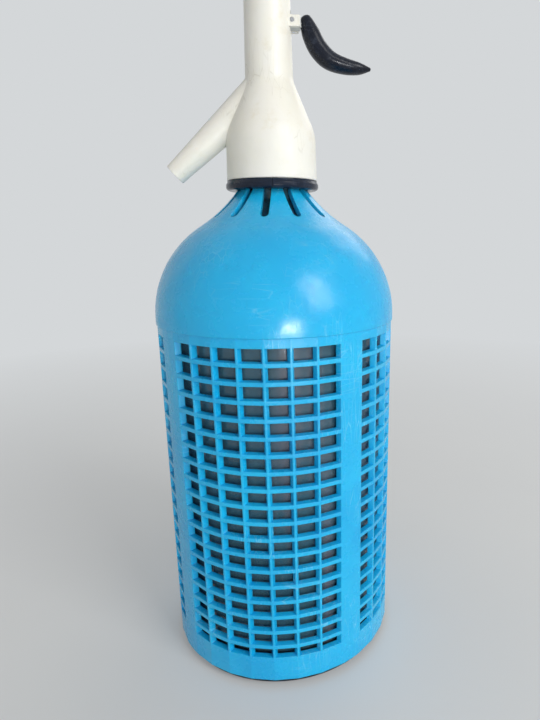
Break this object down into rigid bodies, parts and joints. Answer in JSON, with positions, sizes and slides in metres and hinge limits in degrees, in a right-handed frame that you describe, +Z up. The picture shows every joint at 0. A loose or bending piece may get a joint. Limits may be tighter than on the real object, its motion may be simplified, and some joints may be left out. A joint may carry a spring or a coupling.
{
  "type": "soda siphon",
  "caption": "Soda siphon: glass bottle in a blue latticed plastic sleeve, ivory valve head with a downward spout and a black horn lever that lifts a sprung valve.",
  "frame": {"origin": "centre of the foot's underside, on the axis of the bottle", "axes": "+Z up along the bottle and dip tube, +X towards the lever, -X towards the spout, -Y to the front"},
  "size_m": [0.1088, 0.1088, 0.2918],
  "materials": {
    "sleeve_plastic": "sky blue moulded plastic, glossy with fine scuffs",
    "head_plastic": "ivory moulded plastic, satin gloss",
    "dark_plastic": "blue-black plastic, scuffed gloss",
    "foot_plastic": "blue-black plastic, dull",
    "bottle_glass": "thick clear glass with a faint green tint",
    "seal_rubber": "black rubber",
    "tube_plastic": "translucent white plastic",
    "valve_brass": "turned brass",
    "spring_steel": "drawn stainless wire",
    "pin_steel": "ground stainless pin",
    "lever_plastic": "greyish white nylon"
  },
  "bodies": {
    "siphon": {"base_foot": "foot_plastic", "glass_bottle": "bottle_glass", "sleeve": "sleeve_plastic", "lip_washer": "seal_rubber", "split_ring_left": "dark_plastic", "split_ring_right": "dark_plastic", "mouth_gasket": "seal_rubber", "tube_holder": "tube_plastic", "tube_grommet": "seal_rubber", "dip_tube": "tube_plastic", "head_body": "head_plastic", "valve_seat": "valve_brass", "stem_gland": "valve_brass", "stem_packing": "seal_rubber", "valve_spring": "spring_steel", "spring_retainer": "valve_brass", "top_cap": "head_plastic", "lever_pin": "pin_steel"},
    "lever": {"lever_arm": "lever_plastic", "lever_handle": "dark_plastic"},
    "valve": {"valve_stem": "lever_plastic", "valve_washer": "seal_rubber", "washer_screw": "valve_brass", "spring_cup": "valve_brass", "stem_nuts": "valve_brass"}
  },
  "joints": [
    {"name": "lever_hinge", "type": "hinge", "parent": "siphon", "child": "lever", "pos_m": [0.01, 0, 0.28179], "axis": [0, 1, 0], "range_deg": [0, 14], "stiffness_Nm_per_rad": 0.02, "springref_deg": -22.92},
    {"name": "valve_slide", "type": "slide", "parent": "siphon", "child": "valve", "axis": [0, 0, 1], "range_m": [0, 0.00242], "deforming": ["valve_spring"]}
  ],
  "couplings": [
    {"joint": "lever_hinge", "follows": "valve_slide", "rad_per_m": 100.96}
  ]
}
